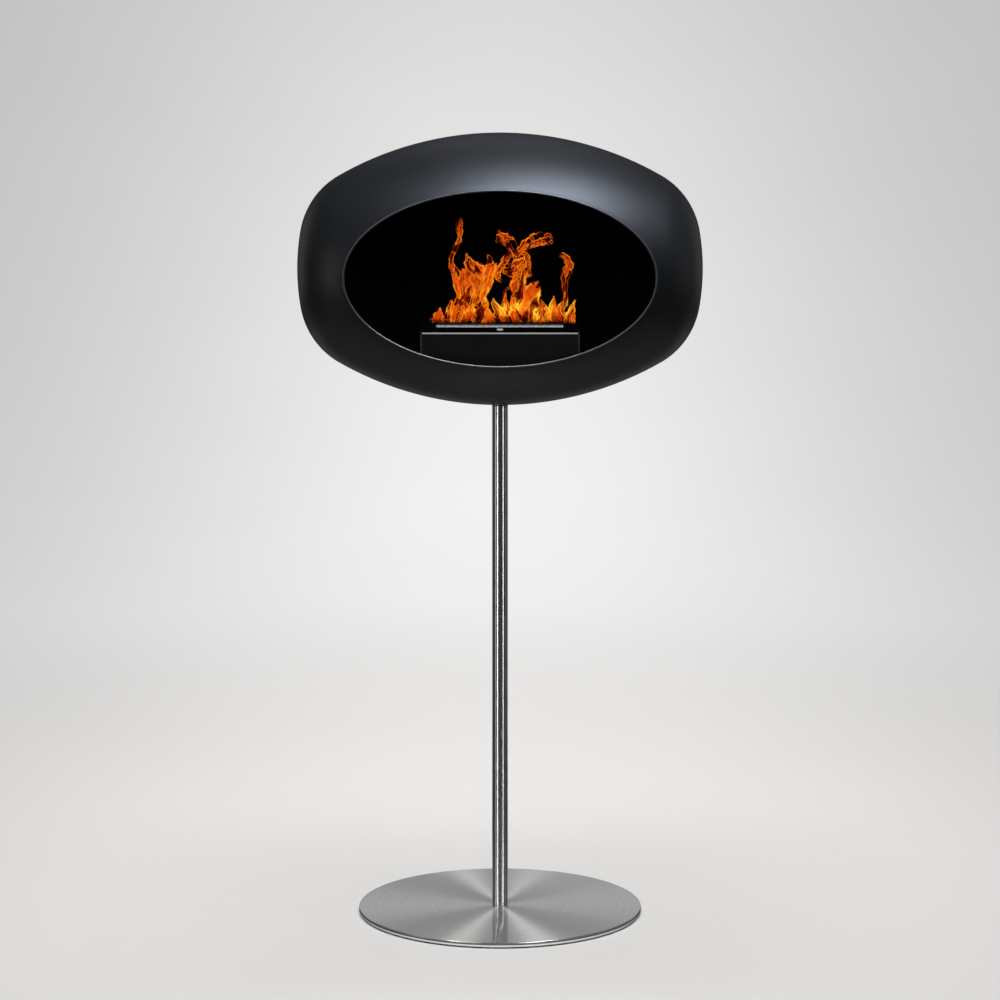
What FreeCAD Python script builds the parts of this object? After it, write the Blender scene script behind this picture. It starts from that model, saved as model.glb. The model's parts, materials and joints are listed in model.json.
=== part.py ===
import FreeCAD, Part
import math
import os

# Bioethanol fireplace: an oval steel dome with a burner inside, turning on a thin pole with a round base plate.
# Millimetres, +Z up, the mouth of the dome faces -Y. The origin lies on the floor, on the axis of the pole.

# Base plate and its floor pads
base_diameter = 400.0
base_thickness = 6.0
base_edge_round = 1.2
pad_diameter = 34.0
pad_thickness = 2.0
pad_count = 6
pad_edge_inset = 14.0

# Pole, its plugs and the bolt from below
pole_diameter = 22.0
pole_wall = 1.5
pole_length = 714.0
plug_length = 38.0
plug_gap = 0.05
thread_diameter = 10.0
thread_length = 24.0
tapped_extra = 4.0
thread_gap = 0.05
foot_head_diameter = 20.0
foot_hole_gap = 0.25
socket_across_flats = 6.0
socket_depth = 3.0

# Swivel between pole and dome
slip_washer_thickness = 2.0
slip_washer_seat_margin = 1.0
swivel_shoulder_diameter = 12.0
swivel_gap = 0.1
swivel_axial_play = 0.1
swivel_head_diameter = 20.0
swivel_head_height = 8.0
thrust_washer_diameter = 28.0
thrust_washer_thickness = 2.0
hub_diameter = 56.0
hub_height = 9.0
hub_edge_chamfer = 2.0

# Dome: a three-arc oval turned about its long axis, with an elliptical mouth
dome_width = 560.0
dome_height = 376.0
dome_wall = 2.5
mouth_margin = 69.0
mouth_drop = 2.8
lip_round = 1.0
seam_from_axis = 45.0

# Cradle rails that carry the burner on the floor of the dome
rail_spacing = 140.0
rail_sheet = 3.0
rail_length = 120.0
rail_flange_width = 22.0
rail_window_length = 56.0
rail_window_height = 9.0
rail_window_drop = 5.0
weld_gap = 0.1

# Burner housing
burner_width = 218.0
burner_depth = 150.0
cradle_height = 36.5
housing_height = 66.0
housing_sheet = 1.5
housing_corner = 3.0
housing_lip_width = 6.0
housing_screw_diameter = 5.0
housing_screw_length = 10.0
housing_screw_head_diameter = 9.5
housing_screw_head_height = 2.8
housing_screw_spacing = 84.0
housing_screw_gap = 0.25
rail_nut_across_flats = 8.0
rail_nut_height = 4.0

# Fuel cassette: tray, wool, slot plate, guides, mesh, lid and its screws
tray_sheet = 2.0
tray_gap = 0.8
tray_depth = 54.0
tray_corner = 12.0
tray_floor_round = 2.0
tray_ledge_width = 4.0
flange_side_inset = 2.0
wool_gap = 0.4
slot_plate_sheet = 1.0
slot_plate_gap = 0.4
slot_side_margin = 24.0
slot_depth = 38.0
slot_corner = 8.0
guide_width = 3.0
guide_end_margin = 13.0
mesh_sheet = 1.0
mesh_rim_width = 3.0
mesh_window_gap = 0.4
mesh_flush_drop = 0.1
mesh_hole_length = 22.0
mesh_hole_width = 6.0
mesh_hole_columns = 15
mesh_hole_rows = 2
mesh_field_margin = 4.0
window_side_margin = 21.0
window_depth = 58.0
window_front = -12.0
window_corner = 4.0
lid_thickness = 1.5
lid_corner = 2.0
lid_screw_diameter = 3.0
lid_screw_head_diameter = 5.6
lid_screw_spacing = 55.0
lid_screw_gap = 0.15
lid_screw_inset = 4.8

# Damper and its knob
damper_side_margin = 16.0
damper_depth = 44.0
damper_sheet = 1.5
damper_corner = 3.0
damper_travel = 42.0
damper_front_margin = 0.7
damper_side_gap = 0.3
damper_top_gap = 0.3
damper_bottom_gap = 0.1
slot_front_margin = 0.5
knob_stem_diameter = 5.0
knob_stem_gap = 0.5
knob_head_diameter = 9.0
knob_head_height = 2.2
knob_head_chamfer = 0.8
knob_lid_gap = 0.3
knob_inset = 4.5

# Arcs of the dome outline and its mouth: the crown and the ends follow the width, the shoulders the height
crown_radius = dome_width * 45 / 56
end_radius = dome_width * 5 / 9
shoulder_radius = dome_height * 2 / 7
mouth_width = dome_width - 2 * mouth_margin
mouth_height = dome_height - 2 * mouth_margin

# Heights along the pole axis, from the floor up
base_bottom = pad_thickness
base_top = base_bottom + base_thickness
pole_top = base_top + pole_length
dome_seat = pole_top + slip_washer_thickness
pole_radius = pole_diameter / 2
dome_radius = dome_height / 2
seat_flat_radius = pole_radius + slip_washer_seat_margin
seat_flat_depth = dome_radius - math.sqrt(dome_radius ** 2 - seat_flat_radius ** 2)
dome_center = dome_seat + dome_radius - seat_flat_depth
dome_floor = dome_center - dome_radius + dome_wall
hub_top = dome_floor + hub_height
shoulder_top = hub_top + thrust_washer_thickness + swivel_axial_play
swivel_bore_radius = swivel_shoulder_diameter / 2 + swivel_gap

# Heights in the burner, from its cradle up to the lid, and from the lid down into the tray
housing_bottom = dome_floor + cradle_height
housing_top = housing_bottom + housing_height
flange_bottom = housing_top
lid_bottom = flange_bottom + tray_sheet
lid_top = lid_bottom + lid_thickness
mesh_rim_bottom = lid_bottom - mesh_sheet
damper_top = mesh_rim_bottom - damper_top_gap
damper_bottom = damper_top - damper_sheet
slot_plate_top = damper_bottom - damper_bottom_gap
ledge_top = slot_plate_top - slot_plate_sheet
tray_floor_top = lid_bottom - tray_depth

# Plan sizes of the tray, from the lip of the housing inwards
tray_outer_width = burner_width - 2 * (housing_lip_width + tray_gap)
tray_outer_depth = burner_depth - 2 * (housing_lip_width + tray_gap)
tray_mouth_width = tray_outer_width - 2 * tray_sheet
tray_mouth_depth = tray_outer_depth - 2 * tray_sheet
tray_body_width = tray_mouth_width - 2 * tray_ledge_width
tray_body_depth = tray_mouth_depth - 2 * tray_ledge_width

# Lengths across the burner, from its sides inwards
slot_length = burner_width - 2 * slot_side_margin
window_length = burner_width - 2 * window_side_margin
damper_width = burner_width - 2 * damper_side_margin
guide_length = burner_depth - 2 * guide_end_margin

# Places along the depth of the burner
damper_front = -tray_mouth_depth / 2 + damper_front_margin
slot_front = damper_front + damper_depth + slot_front_margin
knob_place = damper_front + knob_inset
window_center = window_front + window_depth / 2
slot_center = slot_front + slot_depth / 2
damper_center = damper_front + damper_depth / 2

UP = FreeCAD.Vector(0, 0, 1)
ALONG_DOME = FreeCAD.Vector(1, 0, 0)


def point(x, y, z):
    return FreeCAD.Vector(x, y, z)


def turned(profile):
    """Solid turned about the pole axis from (radius, height) corners."""
    corners = [point(radius, 0, height) for radius, height in profile]
    face = Part.Face(Part.makePolygon(corners + corners[:1]))
    return face.revolve(point(0, 0, 0), UP, 360)


def ring(outer_radius, inner_radius, bottom, top):
    return turned([(inner_radius, bottom), (outer_radius, bottom), (outer_radius, top), (inner_radius, top)])


def rod(radius, bottom, top):
    return Part.makeCylinder(radius, top - bottom, point(0, 0, bottom))


def hexagon_prism(across_flats, bottom, top):
    """Upright six-sided prism on the pole axis."""
    corner_radius = across_flats / math.sqrt(3)
    corners = []
    for corner in range(7):
        angle = corner * math.pi / 3
        corners.append(point(corner_radius * math.cos(angle), corner_radius * math.sin(angle), bottom))
    return Part.Face(Part.makePolygon(corners)).extrude(UP * (top - bottom))


def rounded_slab(width, depth, corner, bottom, top, center_y=0.0):
    """Upright slab whose plan is a rectangle with round corners."""
    inner_x = width / 2 - corner
    inner_y = depth / 2 - corner
    edges = []
    last = None
    for quarter, (sign_x, sign_y) in enumerate([(1, 1), (-1, 1), (-1, -1), (1, -1)]):
        center = point(sign_x * inner_x, center_y + sign_y * inner_y, bottom)
        around = []
        for step in range(3):
            angle = (quarter + step / 2) * math.pi / 2
            around.append(center + point(math.cos(angle), math.sin(angle), 0) * corner)
        if last is None:
            first = around[0]
        else:
            edges.append(Part.makeLine(last, around[0]))
        edges.append(Part.Arc(*around).toShape())
        last = around[2]
    edges.append(Part.makeLine(last, first))
    return Part.Face(Part.Wire(edges)).extrude(UP * (top - bottom))


def mirrored_pair(shape):
    """The same piece on the left and on the right of the pole axis."""
    return shape.mirror(point(0, 0, 0), ALONG_DOME), shape


def save(node, shape):
    shape.exportStep("parts/" + node + ".step")


def base_plate():
    """Laser-cut stainless disc with a rounded top edge and a countersunk hole from below."""
    radius = base_diameter / 2
    edge_middle = base_edge_round * (1 - math.sqrt(0.5))
    side_bottom = point(radius, 0, base_bottom)
    side_top = point(radius, 0, base_top - base_edge_round)
    round_middle = point(radius - edge_middle, 0, base_top - edge_middle)
    round_top = point(radius - base_edge_round, 0, base_top)
    center_top = point(0, 0, base_top)
    center_bottom = point(0, 0, base_bottom)
    outline = Part.Wire([
        Part.makeLine(center_bottom, side_bottom),
        Part.makeLine(side_bottom, side_top),
        Part.Arc(side_top, round_middle, round_top).toShape(),
        Part.makeLine(round_top, center_top),
        Part.makeLine(center_top, center_bottom),
    ])
    disc = Part.Face(outline).revolve(point(0, 0, 0), UP, 360)
    hole_radius = thread_diameter / 2 + foot_hole_gap
    sink_radius = foot_head_diameter / 2 + foot_hole_gap
    sink_height = sink_radius - hole_radius
    countersink = turned([
        (0, base_bottom),
        (sink_radius, base_bottom),
        (hole_radius, base_bottom + sink_height),
        (hole_radius, base_top),
        (0, base_top),
    ])
    return disc.cut(countersink)


def floor_pads():
    """Thin rubber pads on a circle near the edge of the base plate."""
    circle_radius = base_diameter / 2 - pad_edge_inset - pad_diameter / 2
    pads = []
    for index in range(pad_count):
        angle = 2 * math.pi * (index + 0.5) / pad_count
        place = point(circle_radius * math.cos(angle), circle_radius * math.sin(angle), 0)
        pads.append(Part.makeCylinder(pad_diameter / 2, pad_thickness, place))
    return Part.makeCompound(pads)


def pole():
    return ring(pole_radius, pole_radius - pole_wall, base_top, pole_top)


def pole_plug(closed_end, open_end):
    """Round plug in an end of the tube, tapped from that end."""
    plug_radius = pole_radius - pole_wall - plug_gap
    bore_radius = thread_diameter / 2 + thread_gap
    tapped_depth = thread_length + tapped_extra
    tapped_end = open_end + math.copysign(tapped_depth, closed_end - open_end)
    return turned([
        (bore_radius, open_end),
        (plug_radius, open_end),
        (plug_radius, closed_end),
        (0, closed_end),
        (0, tapped_end),
        (bore_radius, tapped_end),
    ])


def foot_bolt():
    """Countersunk bolt, flush with the underside of the base plate."""
    head_radius = foot_head_diameter / 2
    shank_radius = thread_diameter / 2
    bolt = turned([
        (0, base_bottom),
        (head_radius, base_bottom),
        (shank_radius, base_bottom + head_radius - shank_radius),
        (shank_radius, base_top + thread_length),
        (0, base_top + thread_length),
    ])
    return bolt.cut(hexagon_prism(socket_across_flats, base_bottom, base_bottom + socket_depth))


def slip_washer():
    return ring(pole_radius, swivel_bore_radius, pole_top, dome_seat)


def thrust_washer():
    return ring(thrust_washer_diameter / 2, swivel_bore_radius, hub_top, hub_top + thrust_washer_thickness)


def swivel_bolt():
    """Shoulder bolt: its shoulder stands on the plug and leaves the dome free to turn under its head."""
    shank_radius = thread_diameter / 2
    shoulder_radius_here = swivel_shoulder_diameter / 2
    head_radius = swivel_head_diameter / 2
    head_top = shoulder_top + swivel_head_height
    bolt = turned([
        (0, pole_top - thread_length),
        (shank_radius, pole_top - thread_length),
        (shank_radius, pole_top),
        (shoulder_radius_here, pole_top),
        (shoulder_radius_here, shoulder_top),
        (head_radius, shoulder_top),
        (head_radius, head_top),
        (0, head_top),
    ])
    return bolt.cut(hexagon_prism(socket_across_flats, head_top - socket_depth, head_top))


def oval_body(inset):
    """The dome's oval, a given distance inside its outer face, as a solid turned about the long axis.

    A quarter of its outline is three arcs that run smoothly into each other: the crown, whose centre lies on the
    upright axis, the shoulder, and the end, whose centre lies on the long axis.
    """
    crown_center = (0.0, dome_radius - crown_radius)
    end_center = (dome_width / 2 - end_radius, 0.0)
    to_crown = crown_radius - shoulder_radius
    to_end = end_radius - shoulder_radius
    span_x = end_center[0] - crown_center[0]
    span_z = end_center[1] - crown_center[1]
    span = math.hypot(span_x, span_z)
    along = (to_crown ** 2 - to_end ** 2 + span ** 2) / (2 * span)
    across = math.sqrt(to_crown ** 2 - along ** 2)
    shoulder_center = (
        crown_center[0] + (along * span_x + across * span_z) / span,
        crown_center[1] + (along * span_z - across * span_x) / span,
    )
    crown_angle = math.atan2(shoulder_center[1] - crown_center[1], shoulder_center[0] - crown_center[0])
    end_angle = math.atan2(shoulder_center[1] - end_center[1], shoulder_center[0] - end_center[0])

    def on_arc(center, radius, angle, side):
        x = center[0] + (radius - inset) * math.cos(angle)
        z = center[1] + (radius - inset) * math.sin(angle)
        return point(side * x, 0, dome_center + z)

    half_arcs = {}
    for side in (1, -1):
        half_arcs[side] = [
            Part.Arc(
                on_arc(shoulder_center, shoulder_radius, crown_angle, side),
                on_arc(shoulder_center, shoulder_radius, (crown_angle + end_angle) / 2, side),
                on_arc(shoulder_center, shoulder_radius, end_angle, side),
            ).toShape(),
            Part.Arc(
                on_arc(end_center, end_radius, end_angle, side),
                on_arc(end_center, end_radius, end_angle / 2, side),
                on_arc(end_center, end_radius, 0, side),
            ).toShape(),
        ]
    crown = Part.Arc(
        on_arc(crown_center, crown_radius, crown_angle, -1),
        on_arc(crown_center, crown_radius, math.pi / 2, 1),
        on_arc(crown_center, crown_radius, crown_angle, 1),
    ).toShape()
    long_axis = Part.makeLine(on_arc(end_center, end_radius, 0, 1), on_arc(end_center, end_radius, 0, -1))
    outline = Part.Wire([crown] + half_arcs[1] + [long_axis] + half_arcs[-1][::-1])
    return Part.Face(outline).revolve(point(0, 0, dome_center), ALONG_DOME, 360)


def mouth_prism():
    """Elliptical prism that cuts the mouth through the front of the dome only."""
    center = point(0, 0, dome_center - mouth_drop)
    ellipse = Part.Ellipse(
        center + point(mouth_width / 2, 0, 0),
        center + point(0, 0, mouth_height / 2),
        center,
    )
    return Part.Face(Part.Wire([ellipse.toShape()])).extrude(point(0, -dome_height, 0))


def lip_edges(shell):
    """The closed edges that run round the mouth, on the outer and on the inner face of the shell."""
    edges = []
    for edge in shell.Edges:
        spot = edge.valueAt((edge.FirstParameter + edge.LastParameter) / 2)
        across = spot.x / (mouth_width / 2)
        upright = (spot.z - dome_center + mouth_drop) / (mouth_height / 2)
        if spot.y < 0 and abs(math.hypot(across, upright) - 1) < 1e-4:
            edges.append(edge)
    return edges


def before_seam():
    """Block over everything in front of the welded seam between the two pressings of the dome."""
    corner = point(-dome_width, -dome_height - seam_from_axis, dome_center - dome_height)
    return Part.makeBox(2 * dome_width, dome_height, 2 * dome_height, corner)


def dome_front(inside):
    """Front pressing of the dome: a ring with the elliptical mouth and its rounded lip."""
    ring_part = oval_body(0.0).cut(inside).common(before_seam()).cut(mouth_prism())
    return ring_part.makeFillet(lip_round, lip_edges(ring_part))


def dome_shell(inside):
    """Deep back pressing of the dome, with a small flat under it for the pole and a hole for the bolt."""
    bowl = oval_body(0.0).cut(inside).cut(before_seam())
    flat = rod(hub_diameter, dome_seat - dome_radius, dome_seat)
    return bowl.cut(flat).cut(rod(swivel_bore_radius, dome_seat, hub_top))


def swivel_hub(inside):
    """Turned boss that follows the curved floor of the dome and carries the bolt."""
    radius = hub_diameter / 2
    blank = turned([
        (swivel_bore_radius, dome_seat),
        (radius, dome_seat),
        (radius, hub_top - hub_edge_chamfer),
        (radius - hub_edge_chamfer, hub_top),
        (swivel_bore_radius, hub_top),
    ])
    return blank.common(inside)


def screw_places():
    """Places of the housing screws, in the middle of the flanges of the rails."""
    across = rail_spacing / 2 + rail_sheet / 2 - rail_flange_width / 2
    return [
        point(side_x * across, side_y * housing_screw_spacing / 2, 0)
        for side_x in (1, -1)
        for side_y in (1, -1)
    ]


def cradle_rails(inside):
    """Folded rails: a web cut to the curve of the floor, with a window, and a flange turned inwards."""
    outer_face = rail_spacing / 2 + rail_sheet / 2
    web = Part.makeBox(
        rail_sheet,
        rail_length,
        housing_bottom - dome_floor,
        point(outer_face - rail_sheet, -rail_length / 2, dome_floor),
    )
    flange = Part.makeBox(
        rail_flange_width,
        rail_length,
        rail_sheet,
        point(outer_face - rail_flange_width, -rail_length / 2, housing_bottom - rail_sheet),
    )
    rail = web.common(inside).fuse(flange).removeSplitter()
    window_top = housing_bottom - rail_sheet - rail_window_drop
    half_straight = (rail_window_length - rail_window_height) / 2
    window_middle = window_top - rail_window_height / 2
    window = Part.makeBox(
        rail_window_height,
        2 * half_straight,
        rail_window_height,
        point(outer_face - rail_window_height, -half_straight, window_top - rail_window_height),
    )
    for end in (-half_straight, half_straight):
        window = window.fuse(Part.makeCylinder(
            rail_window_height / 2,
            rail_window_height,
            point(outer_face - rail_window_height, end, window_middle),
            ALONG_DOME,
        ))
    rail = rail.cut(window)
    hole_radius = housing_screw_diameter / 2 + housing_screw_gap
    for place in screw_places():
        rail = rail.cut(rod(hole_radius, housing_bottom - rail_sheet, housing_bottom).translated(place))
    return mirrored_pair(rail)


def burner_housing():
    """Black folded box, open at the top, with an inward lip that the flange of the tray rests on."""
    floor_top = housing_bottom + housing_sheet
    lip_bottom = housing_top - housing_sheet
    inner_width = burner_width - 2 * housing_sheet
    inner_depth = burner_depth - 2 * housing_sheet
    mouth_of_lip = (burner_width - 2 * housing_lip_width, burner_depth - 2 * housing_lip_width)
    box = rounded_slab(burner_width, burner_depth, housing_corner, housing_bottom, housing_top)
    box = box.cut(rounded_slab(inner_width, inner_depth, housing_corner - housing_sheet, floor_top, lip_bottom))
    box = box.cut(rounded_slab(mouth_of_lip[0], mouth_of_lip[1], tray_corner, lip_bottom, housing_top))
    hole_radius = housing_screw_diameter / 2 + housing_screw_gap
    for place in screw_places():
        box = box.cut(rod(hole_radius, housing_bottom, floor_top).translated(place))
    return box


def housing_screws():
    """Low-head screws through the floor of the housing into the rails."""
    head_bottom = housing_bottom + housing_sheet
    head_radius = housing_screw_head_diameter / 2
    shank_radius = housing_screw_diameter / 2
    screw = turned([
        (0, head_bottom - housing_screw_length),
        (shank_radius, head_bottom - housing_screw_length),
        (shank_radius, head_bottom),
        (head_radius, head_bottom),
        (head_radius, head_bottom + housing_screw_head_height),
        (0, head_bottom + housing_screw_head_height),
    ])
    return Part.makeCompound([screw.translated(place) for place in screw_places()])


def rail_nuts():
    nut_top = housing_bottom - rail_sheet
    nut = hexagon_prism(rail_nut_across_flats, nut_top - rail_nut_height, nut_top)
    nut = nut.cut(rod(housing_screw_diameter / 2 + thread_gap, nut_top - rail_nut_height, nut_top))
    return Part.makeCompound([nut.translated(place) for place in screw_places()])


def lid_screw_places():
    """Places of the lid screws, along both sides of the flange of the tray."""
    across = burner_width / 2 - lid_screw_inset
    return [
        point(side * across, step * lid_screw_spacing, 0)
        for side in (1, -1)
        for step in (-1, 0, 1)
    ]


def lid_screw_solid(extra):
    """Countersunk lid screw on the pole axis, grown all round by a given gap."""
    head_radius = lid_screw_head_diameter / 2 + extra
    shank_radius = lid_screw_diameter / 2 + extra
    return turned([
        (0, flange_bottom),
        (shank_radius, flange_bottom),
        (shank_radius, lid_top - (head_radius - shank_radius)),
        (head_radius, lid_top),
        (0, lid_top),
    ])


def lid_screws():
    return Part.makeCompound([lid_screw_solid(0.0).translated(place) for place in lid_screw_places()])


def without_lid_screws(shape):
    for place in lid_screw_places():
        shape = shape.cut(lid_screw_solid(lid_screw_gap).translated(place))
    return shape


def fuel_tray():
    """Stainless tray, drawn in two steps: a wide mouth with a ledge for the slot plate, then the fuel well."""
    flange_width = burner_width - 2 * flange_side_inset
    wall = 2 * tray_sheet
    ledge_bottom = ledge_top - tray_sheet
    tray_bottom = tray_floor_top - tray_sheet
    body_corner = tray_corner - tray_ledge_width
    flange = rounded_slab(flange_width, burner_depth, lid_corner, flange_bottom, lid_bottom)
    mouth = rounded_slab(tray_outer_width, tray_outer_depth, tray_corner, ledge_bottom, lid_bottom)
    well = rounded_slab(tray_body_width + wall, tray_body_depth + wall, body_corner, tray_bottom, lid_bottom)
    well = rounded_floor(well, tray_bottom, tray_floor_round)
    hollow_mouth = rounded_slab(tray_mouth_width, tray_mouth_depth, tray_corner - tray_sheet, ledge_top, lid_bottom)
    hollow_corner = body_corner - tray_sheet
    hollow_well = rounded_slab(tray_body_width, tray_body_depth, hollow_corner, tray_floor_top, lid_bottom)
    tray = flange.fuse(mouth).fuse(well).cut(hollow_mouth).cut(hollow_well).removeSplitter()
    return without_lid_screws(tray)


def rounded_floor(slab, bottom, radius):
    """Round the edges round the underside of a slab."""
    edges = []
    for edge in slab.Edges:
        if abs(edge.BoundBox.ZMax - bottom) < 1e-6:
            edges.append(edge)
    return slab.makeFillet(radius, edges)


def ceramic_wool():
    """Block of ceramic fibre that fills the fuel well up to the slot plate."""
    width = tray_body_width - 2 * wool_gap
    depth = tray_body_depth - 2 * wool_gap
    return rounded_slab(width, depth, tray_corner - tray_ledge_width - tray_sheet, tray_floor_top, ledge_top)


def slot_plate():
    """Stainless plate on the ledge of the tray, with the fire slot that the damper closes."""
    width = tray_mouth_width - 2 * slot_plate_gap
    depth = tray_mouth_depth - 2 * slot_plate_gap
    plate = rounded_slab(width, depth, tray_corner - tray_sheet, ledge_top, slot_plate_top)
    return plate.cut(rounded_slab(slot_length, slot_depth, slot_corner, ledge_top, slot_plate_top, slot_center))


def damper_guides():
    """Strips on the slot plate, on both sides of the damper."""
    guide = Part.makeBox(
        guide_width,
        guide_length,
        damper_sheet,
        point(damper_width / 2 + damper_side_gap, -guide_length / 2, slot_plate_top),
    )
    return mirrored_pair(guide)


def burner_mesh():
    """Pressed mesh: a rim under the lid and a field raised into the window, pierced in rows."""
    rim_length = window_length + 2 * mesh_rim_width
    rim_depth = window_depth + 2 * mesh_rim_width
    field_length = window_length - 2 * mesh_window_gap
    field_depth = window_depth - 2 * mesh_window_gap
    field_top = lid_top - mesh_flush_drop
    hollow_top = field_top - mesh_sheet
    hollow_length = field_length - 2 * mesh_sheet
    hollow_depth = field_depth - 2 * mesh_sheet
    corner = window_corner - mesh_window_gap
    hollow_corner = corner - mesh_sheet
    rim = rounded_slab(rim_length, rim_depth, window_corner, mesh_rim_bottom, lid_bottom, window_center)
    field = rounded_slab(field_length, field_depth, corner, mesh_rim_bottom, field_top, window_center)
    hollow = rounded_slab(hollow_length, hollow_depth, hollow_corner, mesh_rim_bottom, hollow_top, window_center)
    mesh = rim.fuse(field).cut(hollow).removeSplitter()
    column_pitch = (hollow_length - 2 * mesh_field_margin) / mesh_hole_columns
    row_pitch = hollow_depth / mesh_hole_rows
    holes = []
    for column in range(mesh_hole_columns):
        across = (column - (mesh_hole_columns - 1) / 2) * column_pitch
        for row in range(mesh_hole_rows):
            along = window_center + (row - (mesh_hole_rows - 1) / 2) * row_pitch
            holes.append(Part.makeBox(
                mesh_hole_width,
                mesh_hole_length,
                mesh_sheet,
                point(across - mesh_hole_width / 2, along - mesh_hole_length / 2, hollow_top),
            ))
    return mesh.cut(holes)


def burner_lid():
    """Black top plate with the window of the mesh and the slot that the knob runs in."""
    lid = rounded_slab(burner_width, burner_depth, lid_corner, lid_bottom, lid_top)
    lid = lid.cut(rounded_slab(window_length, window_depth, window_corner, lid_bottom, lid_top, window_center))
    slot_radius = knob_stem_diameter / 2 + knob_stem_gap
    run = Part.makeBox(
        2 * slot_radius,
        damper_travel,
        lid_thickness,
        point(-slot_radius, knob_place, lid_bottom),
    )
    for end in (knob_place, knob_place + damper_travel):
        run = run.fuse(rod(slot_radius, lid_bottom, lid_top).translated(point(0, end, 0)))
    return without_lid_screws(lid.cut(run))


def damper_plate():
    """Steel plate under the mesh; a hole near its front edge takes the stem of the knob."""
    plate = rounded_slab(damper_width, damper_depth, damper_corner, damper_bottom, damper_top, damper_center)
    stem_hole = rod(knob_stem_diameter / 2, damper_bottom, damper_top)
    return plate.cut(stem_hole.translated(point(0, knob_place, 0)))


def damper_knob():
    """Low mushroom knob, riveted into the damper, whose head runs just above the lid."""
    stem_radius = knob_stem_diameter / 2
    head_radius = knob_head_diameter / 2
    head_bottom = lid_top + knob_lid_gap
    head_top = head_bottom + knob_head_height
    knob = turned([
        (0, damper_bottom),
        (stem_radius, damper_bottom),
        (stem_radius, head_bottom),
        (head_radius, head_bottom),
        (head_radius, head_top - knob_head_chamfer),
        (head_radius - knob_head_chamfer, head_top),
        (0, head_top),
    ])
    return knob.translated(point(0, knob_place, 0))


os.makedirs("parts", exist_ok=True)

save("base_plate", base_plate())
save("floor_pads", floor_pads())
save("pole", pole())
save("pole_foot_plug", pole_plug(base_top + plug_length, base_top))
save("foot_bolt", foot_bolt())
save("pole_top_plug", pole_plug(pole_top - plug_length, pole_top))
save("slip_washer", slip_washer())
save("swivel_bolt", swivel_bolt())
save("thrust_washer", thrust_washer())

inner_face = oval_body(dome_wall)
weld_face = oval_body(dome_wall + weld_gap)
save("dome_shell", dome_shell(inner_face))
save("dome_front", dome_front(inner_face))
save("swivel_hub", swivel_hub(weld_face))
for node, rail in zip(("cradle_rail_left", "cradle_rail_right"), cradle_rails(weld_face)):
    save(node, rail)
save("burner_housing", burner_housing())
save("housing_screws", housing_screws())
save("rail_nuts", rail_nuts())

save("fuel_tray", fuel_tray())
save("ceramic_wool", ceramic_wool())
save("slot_plate", slot_plate())
for node, guide in zip(("damper_guide_left", "damper_guide_right"), damper_guides()):
    save(node, guide)
save("burner_mesh", burner_mesh())
save("burner_lid", burner_lid())
save("lid_screws", lid_screws())

save("damper_plate", damper_plate())
save("damper_knob", damper_knob())
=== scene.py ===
import json
import math

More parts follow.
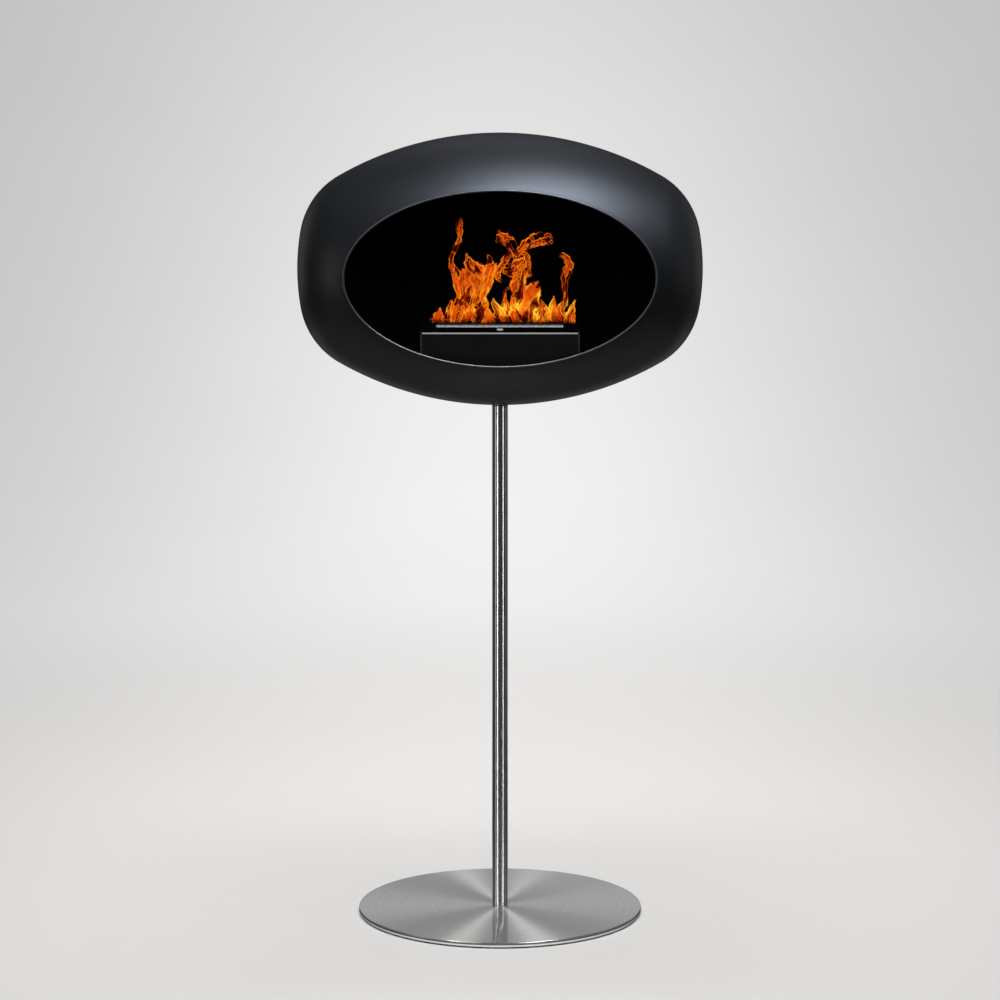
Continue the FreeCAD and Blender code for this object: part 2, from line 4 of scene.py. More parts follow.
import bpy
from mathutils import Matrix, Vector


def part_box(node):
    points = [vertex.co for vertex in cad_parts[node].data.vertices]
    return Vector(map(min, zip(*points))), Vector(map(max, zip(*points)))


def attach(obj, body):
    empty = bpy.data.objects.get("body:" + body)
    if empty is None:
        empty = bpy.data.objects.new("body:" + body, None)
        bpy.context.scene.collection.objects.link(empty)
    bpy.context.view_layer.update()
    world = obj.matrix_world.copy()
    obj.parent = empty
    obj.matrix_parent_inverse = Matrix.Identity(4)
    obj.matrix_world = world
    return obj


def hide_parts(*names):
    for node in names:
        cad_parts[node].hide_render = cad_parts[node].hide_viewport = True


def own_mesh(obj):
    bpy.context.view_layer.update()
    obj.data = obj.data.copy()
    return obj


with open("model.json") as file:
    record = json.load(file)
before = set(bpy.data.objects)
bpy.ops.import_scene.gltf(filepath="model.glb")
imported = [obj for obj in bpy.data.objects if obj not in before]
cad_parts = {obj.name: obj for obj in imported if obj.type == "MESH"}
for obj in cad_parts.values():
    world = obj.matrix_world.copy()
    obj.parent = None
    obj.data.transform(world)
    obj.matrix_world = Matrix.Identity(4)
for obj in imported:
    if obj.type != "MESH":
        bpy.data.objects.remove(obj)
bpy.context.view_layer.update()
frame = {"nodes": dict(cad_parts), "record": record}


# Studio: one seamless pale board, a round floor that curves up into a wall, with a painted pool of light
# behind the fireplace.
# Near the fireplace it shows the overhead softbox's light and shadow; farther out it glows by itself, in the
# painted tones.
# Gloss sees only softboxes and reflector cards, many of them flagged to the pieces that they are set for.
class Wire:
    """A socket of a material's node tree. Arithmetic on it makes Math nodes."""

    def __init__(self, tree, socket=None):
        self.tree = tree
        self.socket = socket

    def node(self, kind, settings=None, inputs=None, output=0):
        """Adds any node: its settings or a ramp's stops first, then its inputs by name or number."""
        made = self.tree.nodes.new(kind)
        for key, value in (settings or {}).items():
            if key != "stops":
                setattr(made, key, value)
                continue
            elements = made.color_ramp.elements
            for place, color in value:
                stop = elements[0] if place == 0 else elements[-1] if place == 1 else elements.new(place)
                stop.color = color
        for key, value in (inputs or {}).items():
            if isinstance(value, Wire):
                self.tree.links.new(value.socket, made.inputs[key])
            else:
                made.inputs[key].default_value = value
        return Wire(self.tree, made.outputs[output])

    def math(self, operation, *values):
        """One Math node on wires and numbers."""
        return self.node("ShaderNodeMath", {"operation": operation}, dict(enumerate(values)))

    def __add__(self, other):
        return self.math("ADD", self, other)

    def __radd__(self, other):
        return self.math("ADD", other, self)

    def __sub__(self, other):
        return self.math("SUBTRACT", self, other)

    def __rsub__(self, other):
        return self.math("SUBTRACT", other, self)

    def __mul__(self, other):
        return self.math("MULTIPLY", self, other)

    def __rmul__(self, other):
        return self.math("MULTIPLY", other, self)

    def __truediv__(self, other):
        return self.math("DIVIDE", self, other)

    def __rtruediv__(self, other):
        return self.math("DIVIDE", other, self)

    def axis(self, number):
        """One coordinate of a vector: 0 across, 1 along, 2 up."""
        return self.node("ShaderNodeSeparateXYZ", inputs={0: self}, output=number)

    def reach(self):
        """Distance of a place from the upright line through the origin."""
        across = self.axis(0)
        along = self.axis(1)
        return self.math("SQRT", across * across + along * along)

    def stretched(self, across, along, up):
        """The same vector, scaled on each axis by itself."""
        return self.node("ShaderNodeMapping", inputs={"Vector": self, "Scale": (across, along, up)})

    def noise(self, scale, detail, **more):
        """Soft random tone over a vector."""
        inputs = {"Vector": self, "Scale": scale, "Detail": detail, **more}
        return self.node("ShaderNodeTexNoise", inputs=inputs)

    def lines(self, scale, detail):
        """Soft random tone along a single value, which draws lines or rings."""
        inputs = {"W": self, "Scale": scale, "Detail": detail}
        return self.node("ShaderNodeTexNoise", {"noise_dimensions": "1D"}, inputs)

    def between(self, low, high):
        """0 below low, 1 above high, with a smooth step between them."""
        settings = {"interpolation_type": "SMOOTHSTEP"}
        return self.node("ShaderNodeMapRange", settings, {"Value": self, "From Min": low, "From Max": high})

    def tint(self, first, second):
        """Blends from the first colour to the second as this value goes from 0 to 1."""
        colors = {"Factor": self, 6: first, 7: second}
        return self.node("ShaderNodeMix", {"data_type": "RGBA"}, colors, 2)


def finish(name, constants):
    """A material whose shader takes these constants, with its object coordinates and its shader."""
    made = bpy.data.materials.new(name)
    made.use_nodes = True
    shader = made.node_tree.nodes["Principled BSDF"]
    for key, value in constants.items():
        shader.inputs[key].default_value = value
    return made, Wire(made.node_tree).node("ShaderNodeTexCoord", output="Object"), shader


def feed(shader, key, wire):
    """Links a wire to one socket of a shader."""
    wire.tree.links.new(wire.socket, shader.inputs[key])


def pick(piece):
    """Selects one piece alone."""
    bpy.ops.object.select_all(action="DESELECT")
    piece.select_set(True)
    bpy.context.view_layer.objects.active = piece


def start_edit(piece):
    """Picks one piece and all of its mesh, ready for edit-mode work."""
    pick(piece)
    bpy.ops.object.mode_set(mode="EDIT")
    bpy.ops.mesh.select_all(action="SELECT")


wall_radius = 7.5
wall_height = 7.0
cove_radius = 4.0
painted_pool_along = 3.9
black = (0, 0, 0, 1)

board, spot, shader = finish("sweep_board", {
    "Roughness": 0.9, "Specular IOR Level": 0.1, "Emission Strength": 1.0})
mottle = spot.noise(2.2, 8.0, Roughness=0.6)
across = spot.axis(0)
up = spot.axis(2)
behind = spot.axis(1) - painted_pool_along
# Painted shade: the board is painted darker away from a painted pool of light behind the fireplace.
painted_falloff = 0.24 * (across * across) + 0.010 * (behind * behind) + 0.085 * (up * up)
shade = painted_falloff / (0.6 + 1.9 * painted_falloff) + 0.03 * mottle
painted_pool = shade.tint((0.90, 0.895, 0.89, 1), (0.02, 0.02, 0.02, 1))
glow = spot.reach().between(0.7, 2.6)
feed(shader, "Base Color", glow.tint(painted_pool, black))
feed(shader, "Emission Color", glow.tint(black, painted_pool))

bpy.ops.mesh.primitive_cylinder_add(vertices=96, radius=wall_radius, depth=wall_height, location=(0, 0, 0))
sweep = bpy.context.object
sweep.name = "sweep"
start_edit(sweep)
bpy.ops.transform.translate(value=(0, 0, wall_height / 2))
bpy.ops.mesh.select_mode(type="EDGE")
bpy.ops.mesh.select_all(action="DESELECT")
bpy.ops.object.mode_set(mode="OBJECT")
for edge in sweep.data.edges:
    edge.select = all(sweep.data.vertices[corner].co.z < wall_height / 2 for corner in edge.vertices)
bpy.ops.object.mode_set(mode="EDIT")
bpy.ops.mesh.bevel(offset=cove_radius, segments=24, affect="EDGES")
bpy.ops.mesh.select_all(action="SELECT")
bpy.ops.mesh.normals_make_consistent(inside=True)
bpy.ops.object.mode_set(mode="OBJECT")
bpy.ops.object.shade_smooth()
sweep.data.materials.append(board)
sweep.visible_glossy = False
sweep.visible_diffuse = False

camera_distance = 4.563
camera_height = 1.2546
camera_tilt = math.radians(81.7)
bpy.ops.object.camera_add(location=(0, -camera_distance, camera_height), rotation=(camera_tilt, 0, 0))
camera = bpy.context.object
camera.data.lens = 118.8
camera.data.sensor_width = 36
bpy.context.scene.camera = camera

world = bpy.data.worlds.new("room")
world.use_nodes = True
room_light = world.node_tree.nodes["Background"]
room_light.inputs["Color"].default_value = (0.9, 0.95, 1.0, 1)
room_light.inputs["Strength"].default_value = 0.04
bpy.context.scene.world = world
bpy.context.scene.view_settings.view_transform = "Standard"

dome_light = bpy.data.collections.new("dome_light")
pole_light = bpy.data.collections.new("pole_light")
plate_light = bpy.data.collections.new("plate_light")
front_light = bpy.data.collections.new("front_light")
floor_shadow = bpy.data.collections.new("floor_shadow")


def lamp(name, place, aim, size, power, flagged_to=None, color=(1, 1, 1)):
    """A rectangle of even light, turned towards its aim, and seen in gloss only, as a reflector card is."""
    turn = (Vector(aim) - Vector(place)).to_track_quat("-Z", "Y").to_euler()
    bpy.ops.object.light_add(type="AREA", location=place, rotation=turn)
    made = bpy.context.object
    made.name = name
    made.data.shape = "RECTANGLE"
    made.data.size = size[0]
    made.data.size_y = size[1]
    made.data.energy = power
    made.data.color = color
    made.visible_camera = False
    made.visible_diffuse = False
    made.light_linking.receiver_collection = flagged_to
    return made


lamp("roof_softbox", (0.52, -0.91, 2.9), (0.08, 0, 0.95), (1.58, 1.1), 111, dome_light, (0.74, 0.83, 1.0))
lamp("bounce_card", (-0.2, -0.1, 0.012), (-0.2, -0.1, 1), (2.8, 1.1), 1.95, dome_light)
lamp("pole_strip_left", (-1.12, -1.54, 0.3), (0, 0, 0.3), (0.30, 0.8), 7, pole_light)
lamp("pole_strip_right", (1.40, -1.28, 0.3), (0, 0, 0.3), (0.34, 0.8), 5, pole_light)
lamp("plate_strip_left", (-1.05, -1.05, 2.13), (0, 0, 0), (0.7, 0.5), 30, plate_light)
lamp("plate_strip_right", (1.05, -1.05, 2.13), (0, 0, 0), (0.7, 0.5), 36, plate_light)
lamp("back_card", (0, 2.6, 0.9), (0, 0, 0.9), (3.4, 1.8), 8, plate_light)
lamp("left_card", (-2.6, -1.05, 0.85), (0, 0, 0.9), (0.9, 1.6), 6.0)
lamp("right_card", (2.6, 0.3, 1.0), (0, 0, 0.4), (0.9, 1.6), 1.6)
lamp("crown_card", (0, 1.7, 2.6), (0, 0, 1.1), (1.4, 0.6), 1.2)
lamp("left_rim_card", (-2.4, 2.6, 1.1), (0, 0, 0.9), (1.2, 1.6), 2.5)
lamp("right_rim_card", (2.4, 2.6, 1.1), (0, 0, 0.9), (1.2, 1.6), 2)
lamp("floor_card", (0, 1.6, 0.02), (0, 1.6, 1), (3.2, 1.2), 4)
lamp("front_card", (0, -6.4, 0.25), (0, 0, 0.83), (1.8, 0.4), 1.8)
wash = lamp("wash_softbox", (0, 0, 4.2), (0, 0.01, 0), (4, 4), 250, color=(1, 0.985, 0.975))
wash.light_linking.blocker_collection = floor_shadow
fill = lamp("front_fill", (0, -4.9, 1.3), (0, 0, 0.6), (1.0, 0.6), 150, front_light)
for diffuse_lamp in (wash, fill):
    diffuse_lamp.visible_diffuse = True
    diffuse_lamp.visible_glossy = False


# Base plate: 6 mm stainless sheet, laser cut, rounded on its top edge and brushed in circles on a turntable.
# It carries the pole on one bolt from below, and a thin clear film on it mirrors the foot of the pole.
bodies = frame["record"]["behaviour"]["bodies"]
weld_distance = 0.000002
sharp_angle = 40
edge_slope = 0.2


def dress(node, name, finish_coat, angle=30, bevel=0.0):
    """The CAD node's form in its finish, its triangles joined, edges eased and curves shaded smooth.

    Every such piece, apart from the two pressings of the dome, casts a shadow in the wash light.
    """
    piece = bpy.data.objects.new(name, frame["nodes"][node].data.copy())
    bpy.context.collection.objects.link(piece)
    start_edit(piece)
    bpy.ops.mesh.customdata_custom_splitnormals_clear()
    bpy.ops.mesh.remove_doubles(threshold=weld_distance)
    bpy.ops.object.mode_set(mode="OBJECT")
    if bevel:
        eased = piece.modifiers.new("eased", "BEVEL")
        eased.width = bevel
        eased.segments = 2
        eased.limit_method = "ANGLE"
        eased.angle_limit = math.radians(sharp_angle)
        bpy.ops.object.modifier_apply(modifier=eased.name)
    bpy.ops.object.shade_smooth_by_angle(angle=math.radians(angle))
    piece.data.materials.clear()
    piece.data.materials.append(finish_coat)
    if not node.startswith("dome"):
        floor_shadow.objects.link(piece)
    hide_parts(node)
    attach(piece, next(body for body, nodes in bodies.items() if node in nodes))
    return piece


brushed, spot, shader = finish("brushed_plate", {
    "Metallic": 0.86, "Anisotropic": 0.95, "Anisotropic Rotation": 0.25,
    "Coat Weight": 1.0, "Coat Roughness": 0.05})
radius = spot.reach()
bands = radius.lines(160.0, 2.0)
feed(shader, "Base Color", bands.between(0.25, 0.75).tint((0.50, 0.487, 0.478, 1), (0.56, 0.547, 0.538, 1)))
feed(shader, "Roughness", 0.34 + 0.08 * radius.lines(1400.0, 3.0))

# Painted reflection: the cut edge is painted near white below and near black along its top, for the pale
# floor and the dark room that it would mirror.
edge_painted_reflection, spot, shader = finish("plate_edge_painted_reflection", {"Metallic": 0.0})
streaks = spot.stretched(60.0, 60.0, 2400.0).noise(1.0, 2.0)
shade = spot.axis(2).between(0.0040, 0.0050) + 0.15 * streaks
feed(shader, "Base Color", shade.tint((0.95, 0.94, 0.93, 1), (0.14, 0.135, 0.13, 1)))
feed(shader, "Roughness", 0.30 + 0.2 * streaks)

base_plate = dress("base_plate", "base_plate_brushed", brushed)
base_plate.data.materials.append(edge_painted_reflection)
for face in base_plate.data.polygons:
    if abs(face.normal.z) < edge_slope:
        face.material_index = 1
plate_light.objects.link(base_plate)
front_light.objects.link(base_plate)


# Floor pads: six discs of black rubber, die cut from sheet.
# They are glued under the plate near its edge, so that it stands clear of the floor.
rubber, spot, shader = finish("pad_rubber", {"Specular IOR Level": 0.25})
grain = spot.noise(900.0, 3.0)
feed(shader, "Base Color", grain.tint((0.010, 0.010, 0.010, 1), (0.022, 0.022, 0.022, 1)))
feed(shader, "Roughness", 0.65 + 0.25 * grain)
dress("floor_pads", "floor_pads_rubber", rubber)


# Pole: a drawn stainless tube, ground round its girth, so that lamps draw upright lines on it.
# Bolts into plugs at both of its ends hold it between the plate and the dome.
ground, spot, shader = finish("ground_tube", {
    "Metallic": 1.0, "Anisotropic": 1.0, "Anisotropic Rotation": 0.25})
turns = spot.axis(2).lines(2600.0, 3.0)
feed(shader, "Base Color", turns.between(0.3, 0.7).tint((0.58, 0.585, 0.59, 1), (0.66, 0.665, 0.67, 1)))
feed(shader, "Roughness", 0.24 + 0.10 * turns)
pole_light.objects.link(dress("pole", "pole_tube", ground))


# Fixings of the stand: turned steel plugs pressed into the tube, the bolt from below, and the swivel bolt.
# The dome turns on a grey polymer washer on top of the pole, and a steel one lies under the head of the bolt.
plated, spot, shader = finish("plated_steel", {"Metallic": 1.0})
haze = spot.noise(240.0, 4.0)
feed(shader, "Base Color", haze.tint((0.42, 0.42, 0.43, 1), (0.58, 0.58, 0.585, 1)))
feed(shader, "Roughness", 0.28 + 0.2 * haze)

polymer, spot, shader = finish("slip_polymer", {"Specular IOR Level": 0.4})
haze = spot.noise(500.0, 3.0)
feed(shader, "Base Color", haze.tint((0.34, 0.34, 0.345, 1), (0.42, 0.42, 0.425, 1)))
feed(shader, "Roughness", 0.45 + 0.2 * haze)

for node in ("pole_foot_plug", "pole_top_plug"):
    dress(node, node + "_turned", plated)
for node in ("foot_bolt", "swivel_bolt", "thrust_washer"):
    dress(node, node + "_turned", plated)
dress("slip_washer", "slip_washer_turned", polymer)


# Dome: two deep-drawn steel pressings, welded and ground flush, the front one with a laser-cut oval mouth.
# Outside it is powder coated in fine-grained matt black; inside, the coat is painted near black as painted
# shade of the hollow.
dome_radius = 0.188
faces_inward = -0.05

coat, spot, shader = finish("dome_powder_coat", {"Specular IOR Level": 0.5})
grain = spot.noise(1500.0, 2.0)
cloud = spot.noise(14.0, 3.0)
feed(shader, "Base Color", cloud.tint((0.0050, 0.0052, 0.0062, 1), (0.0080, 0.0083, 0.0096, 1)))
feed(shader, "Roughness", 0.41 + 0.05 * cloud + 0.05 * grain)
pimples = {"Height": grain, "Strength": 0.08, "Distance": 0.0002}
feed(shader, "Normal", spot.node("ShaderNodeBump", inputs=pimples))

# Painted shade: faces turned into the hollow, and the lid, take this near-black copy of the dome's coat.
inside_painted_shade, spot, shader = finish("dome_inside_painted_shade", {"Specular IOR Level": 0.08})
cloud = spot.noise(24.0, 4.0)
feed(shader, "Base Color", cloud.tint((0.0006, 0.0006, 0.0006, 1), (0.0014, 0.0013, 0.0013, 1)))
feed(shader, "Roughness", 0.75 + 0.2 * cloud)

dome_middle = Vector((0, 0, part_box("dome_shell")[1].z - dome_radius))
pressings = {}
for node in ("dome_shell", "dome_front"):
    pressings[node] = dress(node, node + "_coated", coat, angle=50)
    pressings[node].data.materials.append(inside_painted_shade)
    for face in pressings[node].data.polygons:
        if (face.center - dome_middle).dot(face.normal) < faces_inward:
            face.material_index = 1
    dome_light.objects.link(pressings[node])


# Lip: the edge of the mouth is rolled round a 3 mm wire and coated with the dome.
# Its coat is painted a lighter grey than the dome's, a painted highlight along the tight curve, and shines a
# little.
# Its line is laid on the front of the dome, just outside the mouth, and then drawn in to the cut edge.
bead_radius = 0.0015
mouth_drop = 0.0028
mouth_middle = dome_middle.z - mouth_drop
before_dome = -0.3
on_front = (0.2124, 0.1204)
on_edge = (0.2106, 0.1186)

# Painted highlight: the lip's coat is a lighter grey than the dome's black.
lip_painted_highlight, spot, shader = finish("lip_painted_highlight", {"Specular IOR Level": 0.8})
grain = spot.noise(260.0, 3.0)
feed(shader, "Base Color", grain.tint((0.10, 0.105, 0.118, 1), (0.12, 0.126, 0.140, 1)))
feed(shader, "Roughness", 0.26 + 0.04 * grain)

bpy.ops.object.select_all(action="DESELECT")
bpy.ops.mesh.primitive_circle_add(vertices=256, radius=1, location=(0, 0, 0))
lip = bpy.context.object
lip.name = "mouth_lip"
start_edit(lip)
bpy.ops.transform.rotate(value=math.pi / 2, orient_axis="X", center_override=(0, 0, 0))
bpy.ops.transform.resize(value=(on_front[0], 1, on_front[1]), center_override=(0, 0, 0))
bpy.ops.transform.translate(value=(0, before_dome, mouth_middle))
bpy.ops.object.mode_set(mode="OBJECT")
wrap = lip.modifiers.new("wrap", "SHRINKWRAP")
wrap.target = pressings["dome_front"]
wrap.wrap_method = "PROJECT"
wrap.use_project_y = True
wrap.use_negative_direction = False
bpy.ops.object.modifier_apply(modifier=wrap.name)
start_edit(lip)
bpy.ops.transform.resize(
    value=(on_edge[0] / on_front[0], 1, on_edge[1] / on_front[1]), center_override=(0, 0, mouth_middle))
bpy.ops.object.mode_set(mode="OBJECT")
bpy.ops.object.convert(target="CURVE")
lip = bpy.context.object
lip.data.bevel_depth = bead_radius
lip.data.bevel_resolution = 3
bpy.ops.object.convert(target="MESH")
lip = bpy.context.object
start_edit(lip)
bpy.ops.mesh.remove_doubles(threshold=weld_distance)
bpy.ops.mesh.normals_make_consistent(inside=False)
bpy.ops.object.mode_set(mode="OBJECT")
bpy.ops.object.shade_smooth()
lip.data.materials.clear()
lip.data.materials.append(lip_painted_highlight)
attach(lip, "dome")
dome_light.objects.link(lip)


# Carrier inside the dome: a turned hub and two folded rails, welded to its floor and coated with it.
# Plated screws and nuts hold the burner housing on the flanges of the rails.
for node in ("swivel_hub", "cradle_rail_left", "cradle_rail_right"):
    dress(node, node + "_coated", coat)
for node in ("housing_screws", "rail_nuts"):
    dress(node, node + "_plated", plated)


# Burner housing: a folded steel box with an inward lip, coated in a smoother satin black than the dome.
# Its folds are painted a lighter grey, a painted highlight that shows as fine grey lines.
fold_radius = 0.0006
flat_side = 0.97

satin, spot, shader = finish("burner_satin_coat", {"Specular IOR Level": 0.12})
cloud = spot.noise(60.0, 3.0)
feed(shader, "Base Color", cloud.tint((0.0046, 0.0046, 0.0049, 1), (0.0072, 0.0072, 0.0077, 1)))
feed(shader, "Roughness", 0.28 + 0.1 * cloud)

# Painted highlight: the eased edges of the housing and the lid take a lighter grey coat.
edge_painted_highlight, spot, shader = finish("burner_edge_painted_highlight", {"Specular IOR Level": 0.3})
cloud = spot.noise(90.0, 3.0)
feed(shader, "Base Color", cloud.tint((0.016, 0.016, 0.017, 1), (0.044, 0.044, 0.046, 1)))
feed(shader, "Roughness", 0.25 + 0.1 * cloud)


def coat_burner_piece(node, name, finish_coat):
    """One coat all over, with a lighter grey painted highlight on the eased edges."""
    piece = dress(node, name, finish_coat, bevel=fold_radius)
    piece.data.materials.append(edge_painted_highlight)
    for face in piece.data.polygons:
        if max(abs(part) for part in face.normal) < flat_side:
            face.material_index = 1
    front_light.objects.link(piece)


coat_burner_piece("burner_housing", "burner_housing_coated", satin)


# Fuel cassette: a welded stainless tray, hung in the housing by its flange, with slot plate and damper.
# The tray holds a block of pale ceramic wool that soaks up the fuel.
tray_steel, spot, shader = finish("tray_steel", {"Metallic": 0.6})
streaks = spot.stretched(30.0, 900.0, 900.0).noise(1.0, 3.0)
feed(shader, "Base Color", streaks.tint((0.68, 0.685, 0.69, 1), (0.84, 0.845, 0.85, 1)))
feed(shader, "Roughness", 0.22 + 0.2 * streaks)
for node in ("fuel_tray", "slot_plate", "damper_guide_left", "damper_guide_right",
             "damper_plate", "damper_knob"):
    front_light.objects.link(dress(node, node + "_steel", tray_steel))

wool_fibre, spot, shader = finish("wool_fibre", {"Roughness": 1.0, "Specular IOR Level": 0.05})
feed(shader, "Base Color", spot.noise(300.0, 6.0).tint((0.45, 0.43, 0.40, 1), (0.78, 0.77, 0.74, 1)))
dress("ceramic_wool", "ceramic_wool_fibre", wool_fibre)


# Lid: a thin coated plate in the dome's near-black inside coat, painted shade under the dome, with a window
# for the mesh and a slot for the damper's knob.
# Six countersunk plated screws hold it on the flange of the tray.
coat_burner_piece("burner_lid", "burner_lid_coated", inside_painted_shade)
dress("lid_screws", "lid_screws_plated", plated)


# Mesh: plain weave of bent steel wires, laid on a pierced and pressed steel sheet in the window of the lid.
# The rim of the sheet is held between the lid and the tray. The fire has sooted the mesh towards its back.
wire_radius = 0.0004
pitch = 0.0022
side_rim = 0.0025
front_rim = 0.0035
clean_depth = 0.008
black_depth = 0.050

mesh_steel, spot, shader = finish("mesh_steel", {"Metallic": 0.5})
haze = spot.noise(400.0, 3.0)
clean = haze.tint((0.66, 0.66, 0.68, 1), (0.84, 0.84, 0.86, 1))
lower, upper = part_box("burner_mesh")
soot_line = spot.axis(1).between(lower.y + clean_depth, lower.y + black_depth)
feed(shader, "Base Color", soot_line.tint(clean, (0.02, 0.02, 0.02, 1)))
feed(shader, "Roughness", 0.25 + 0.2 * haze)

level = upper.z - wire_radius
left = lower.x + side_rim
front = lower.y + front_rim
wide = upper.x - lower.x - 2 * side_rim
deep = upper.y - lower.y - 2 * front_rim


def woven_wires(name, length, count, start, step, sign, turn):
    """Wires bent over and under the ones that cross them, side by side, every other one half a wave on."""
    strands = []
    for phase in (0, 1):
        bpy.ops.object.select_all(action="DESELECT")
        bpy.ops.mesh.primitive_circle_add(vertices=6, radius=wire_radius, location=(0, 0, 0))
        strand = bpy.context.object
        strands.append(strand)
        start_edit(strand)
        lift = wire_radius * sign * (1 - 2 * phase)
        bpy.ops.transform.rotate(value=math.pi / 2, orient_axis="Y", center_override=(0, 0, 0))
        bpy.ops.transform.translate(value=(start[0], start[1] + step * phase, level + lift))
        for bend in range(int(length / pitch)):
            lift = -lift
            bpy.ops.mesh.extrude_region_move(TRANSFORM_OT_translate={"value": (pitch, 0, 2 * lift)})
        bpy.ops.mesh.select_all(action="SELECT")
        if turn:
            bpy.ops.transform.rotate(value=turn, orient_axis="Z", center_override=(0, 0, 0))
        bpy.ops.mesh.normals_make_consistent(inside=False)
        bpy.ops.object.mode_set(mode="OBJECT")
        row = strand.modifiers.new("row", "ARRAY")
        row.use_relative_offset = False
        row.use_constant_offset = True
        row.constant_offset_displace = (2 * pitch, 0, 0) if turn else (0, 2 * pitch, 0)
        row.count = (count + 1 - phase) // 2
        bpy.ops.object.modifier_apply(modifier=row.name)
    for strand in strands:
        strand.select_set(True)
    bpy.context.view_layer.objects.active = strands[0]
    bpy.ops.object.join()
    cloth = bpy.context.object
    cloth.name = name
    bpy.ops.object.shade_smooth()
    cloth.data.materials.append(mesh_steel)
    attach(cloth, "fuel_cassette")


woven_wires("burner_mesh_warp", wide, int(deep / pitch) + 1, (left, front), pitch, sign=1, turn=0)
woven_wires("burner_mesh_weft", deep, int(wide / pitch) + 1, (front, -left), -pitch,
            sign=-1, turn=-math.pi / 2)
dress("burner_mesh", "burner_mesh_pressed", mesh_steel)


# Flames: thin sheets of burning vapour that stand over the mesh and lick up and apart in twisted tongues.
# They are dim at the foot, glow along threads and rims, and turn red and thin out towards the tips.
# Their sizes are in mm.
rows_per_span = 10
columns = 8
bow = 4
ripple = 3
thinnest = 0.6
nearest = 26
gap = 5
layers = 5
sway = 0.2
swell = 0.12
flicker = 0.08
drift = 0.05
lid_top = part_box("burner_lid")[1].z

flame, spot, shader = finish("flame", {
    "Base Color": black, "Roughness": 1.0, "Specular IOR Level": 0.0, "Emission Strength": 1.0})
flow_map = spot.node("ShaderNodeUVMap", {"uv_map": "flow"})
side = flow_map.axis(0)
rise = flow_map.axis(1)
height = spot.axis(2)
curl = spot.noise(52.0, 1.5)
streak = spot.stretched(40.0, 40.0, 20.0).noise(1.0, 0.8, Distortion=1.8)
thread = 1.0 - spot.math("ABSOLUTE", streak - 0.5).between(0.004, 0.034)
edge = spot.math("ABSOLUTE", (side + (curl - 0.5) * 0.24) * 2.0 - 1.0)
rim = edge.between(0.60, 0.82) * (1.0 - edge.between(0.88, 1.0))
core = 1.0 - height.between(lid_top + 0.018, lid_top + 0.080)
tip = height.between(lid_top + 0.045, lid_top + 0.140)
foot = 1.0 - height.between(lid_top + 0.002, lid_top + 0.020)
glowing = 0.30 * streak.between(0.36, 0.68) + 0.32 * thread + 0.30 * rim * curl.between(0.3, 0.6)
heat = 0.08 + glowing + 0.40 * core * curl.between(0.48, 0.66) - 0.10 * tip - 0.16 * foot
feed(shader, "Emission Color", heat.node("ShaderNodeValToRGB", {"stops": (
    (0, (0.03, 0.0015, 0.0, 1)),
    (0.16, (0.22, 0.013, 0.001, 1)),
    (0.36, (0.78, 0.085, 0.004, 1)),
    (0.56, (1.0, 0.24, 0.006, 1)),
    (0.80, (1.0, 0.44, 0.012, 1)),
    (1, (1.0, 0.68, 0.05, 1)),
)}, {"Fac": heat}))
thickness = 0.12 + 0.50 * streak.between(0.36, 0.62) + 0.5 * thread + 0.6 * rim + 0.2 * core - 0.12 * tip
fade_in = rise.between(0.0, 0.07) * height.between(lid_top + 0.0005, lid_top + 0.012)
fade_out = (1.0 - edge.between(0.84, 1.05)) * (1.0 - rise.between(0.88, 1.0))
feed(shader, "Alpha", thickness * fade_in * fade_out)


def curve(values, share):
    """A smooth curve through four values, at a share of the way from the second to the third."""
    a, b, c, d = values
    bend = 2 * a - 5 * b + 4 * c - d
    twist = 3 * b - a - 3 * c + d
    return 0.5 * (2 * b + (c - a) * share + bend * share * share + twist * share * share * share)


def tongue(spine, depth, wave):
    """Corners, faces and flow of one sheet along the spine's (x, height, width) over the lid, all in mm."""
    rows = rows_per_span * (len(spine) - 1)
    ends = [spine[0]] + list(spine) + [spine[-1]]
    middles = []
    for row in range(rows + 1):
        span = min(row // rows_per_span, len(spine) - 2)
        share = row / rows_per_span - span
        x, up, width = [curve(values, share) for values in zip(*ends[span:span + 4])]
        width *= 1 + swell * math.sin(0.55 * row + wave) + flicker * math.sin(1.3 * row + 2 * wave)
        middles.append((x + drift * width * math.sin(0.45 * row + 3 * wave), up, width))
    corners, faces, flow = [], [], []
    for row, (x, up, width) in enumerate(middles):
        before = middles[max(row - 1, 0)]
        after = middles[min(row + 1, rows)]
        run = math.hypot(after[0] - before[0], after[1] - before[1])
        across = ((after[1] - before[1]) / run, (before[0] - after[0]) / run)
        for column in range(columns + 1):
            u = column / columns
            shift = (u - 0.5) * max(width, thinnest)
            back = depth - bow * math.sin(math.pi * u) + ripple * math.sin(row / rows * 5 + wave)
            place = (x + across[0] * shift, back, up + across[1] * shift)
            corners.append((place[0] / 1000, place[1] / 1000, lid_top + place[2] / 1000))
            flow.append((u, row / rows))
    for row in range(rows):
        for column in range(columns):
            first = row * (columns + 1) + column
            faces.append((first, first + 1, first + columns + 2, first + columns + 1))
    return corners, faces, flow


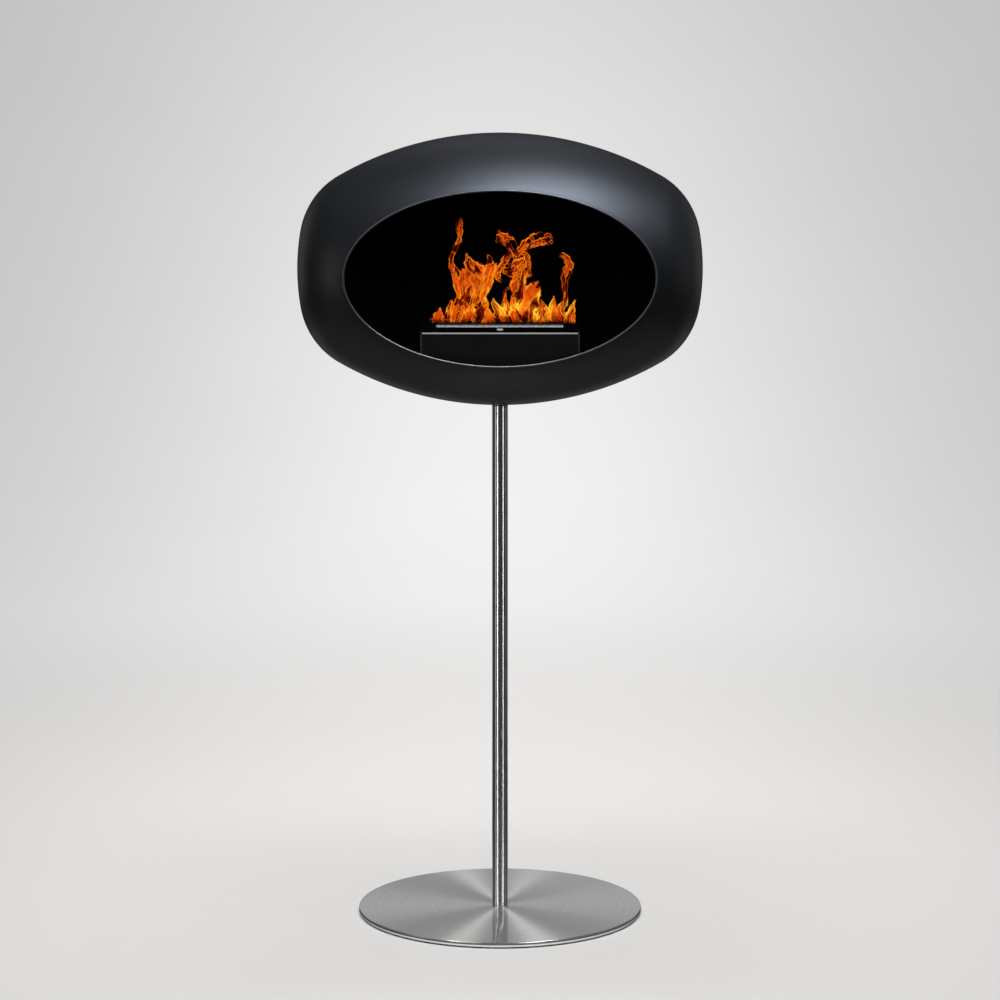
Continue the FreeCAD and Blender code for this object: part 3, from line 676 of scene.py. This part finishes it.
def fire(name, tongues):
    """One mesh of several tongues, each with a narrower fold before it, and the map of the vapour's flow."""
    corners, faces, flow = [], [], []
    for number, spine in enumerate(tongues):
        lean = sway if number % 2 else -sway
        fold = [(x + lean * width, 0.96 * up + 1, 0.5 * width + 0.5) for x, up, width in spine]
        depth = nearest + gap * (number % layers)
        for sheet in (tongue(spine, depth, number), tongue(fold, depth - gap, number + 1.5)):
            faces += [tuple(corner + len(corners) for corner in face) for face in sheet[1]]
            corners += sheet[0]
            flow += sheet[2]
    sheets = bpy.data.meshes.new(name)
    sheets.from_pydata(corners, [], faces)
    layer = sheets.uv_layers.new(name="flow")
    for loop in sheets.loops:
        layer.data[loop.index].uv = flow[loop.vertex_index]
    piece = bpy.data.objects.new(name, sheets)
    bpy.context.collection.objects.link(piece)
    pick(piece)
    bpy.ops.object.shade_smooth()
    sheets.materials.append(flame)
    piece.visible_diffuse = False
    piece.visible_glossy = False
    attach(piece, "fuel_cassette")
    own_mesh(piece)


fire("flames_left", [
    [(-50, 46, 10), (-57, 62, 13), (-63.5, 76, 12), (-68, 86, 7), (-66.5, 96, 6), (-61.5, 107.5, 8),
     (-57, 117, 7), (-55, 127, 6), (-56.5, 137, 10), (-55.5, 144, 7), (-55, 151, 1)],
    [(-35.5, 42, 24), (-36, 58, 32), (-37, 71, 36), (-41, 84, 19), (-45.5, 94, 6), (-47, 102, 1)],
    [(-24, 44, 16), (-17, 66, 17), (-13, 80, 15), (-14, 90, 8), (-18, 98, 1)],
    [(-19, 48, 9), (-14, 60, 9), (-9, 76, 6), (-4, 86, 1)],
    [(-46, 1, 24), (-44, 22, 22), (-40, 37, 24), (-35.5, 48, 28), (-32, 62, 20), (-30, 74, 4)],
    [(-30, 1, 22), (-24, 22, 19), (-27, 37, 18), (-24, 50, 14), (-20, 62, 5)],
    [(-52, 26, 10), (-56, 46, 12), (-61, 62, 10), (-66, 80, 4), (-69, 84, 1)],
])
fire("flames_middle", [
    [(19, 1, 26), (21, 27, 14), (23, 46, 16), (26, 62, 22), (30, 78, 16), (34, 90, 4)],
    [(2, 77, 5), (13, 74, 16), (25, 79, 28), (35, 77, 16), (43, 72, 2)],
    [(24, 92, 10), (21, 104, 12), (15, 113, 16), (7, 119, 15), (0, 122, 11), (-4, 116, 2)],
    [(5, 119, 9), (0, 126, 5), (-1.5, 132, 1)],
    [(12, 117, 9), (11, 126, 4), (11, 132, 1)],
    [(22, 97, 8), (29, 106, 10), (38, 113, 14), (48, 118, 19), (58, 120.5, 21), (66, 120.5, 17),
     (73, 117, 3)],
    [(22, 104, 8), (11, 94, 10), (3.5, 84, 10), (-2.5, 74, 9), (-2.5, 65, 7), (4, 60, 2)],
    [(25, 104, 7), (35, 97, 8), (39, 87, 9), (37.5, 76, 9), (31, 64, 7), (25, 54, 3)],
    [(30, 62, 6), (37, 67, 5), (45, 69, 1)],
    [(5, 14, 10), (6, 30, 7), (6.5, 43, 5), (9.5, 49, 3), (14, 50, 1)],
])
fire("flames_right", [
    [(41, 1, 28), (40, 19, 26), (44, 37, 27), (46, 50, 24), (50, 57, 8), (54, 62, 1)],
    [(35, 8, 13), (34, 31, 12), (34, 46, 9), (31, 58, 2)],
    [(62, 1, 22), (64, 17, 16), (60, 28, 5), (57, 35, 1)],
    [(74, 1, 22), (72, 19, 16), (75, 32, 5), (75, 40, 1)],
    [(86, 1, 20), (84, 17, 15), (90, 29, 8), (93, 37, 2)],
    [(97, 1, 16), (99, 17, 13), (102, 28, 4), (105, 36, 1)],
    [(91, 24, 7), (91, 45, 7), (90.5, 58, 9), (91.5, 68, 13), (95, 77, 13), (97, 84, 10), (93, 92, 9),
     (88, 98, 5), (82, 97, 2)],
])
fire("flames_low", [
    [(-90, 1, 22), (-86, 11, 15), (-84, 19, 6), (-83, 25, 1)],
    [(-75, 1, 18), (-71, 17, 11), (-68, 28, 8), (-68, 36, 1)],
    [(-63, 1, 18), (-61, 22, 12), (-58, 36, 8), (-52, 43, 2)],
    [(3, 1, 26), (-1.5, 17, 18), (-8, 29, 7), (-10, 37, 1)],
    [(12, 1, 22), (10, 19, 14), (6, 34, 5), (9, 40, 1)],
    [(-12, 1, 24), (-18, 14, 18), (-24, 24, 8), (-27, 30, 1)],
    [(30, 1, 20), (32, 14, 13), (29, 24, 5), (28, 30, 1)],
    [(54, 1, 20), (53, 14, 15), (57, 24, 6), (58, 30, 1)],
    [(-55, 1, 22), (-52, 16, 16), (-49, 28, 9), (-47, 36, 1)],
])
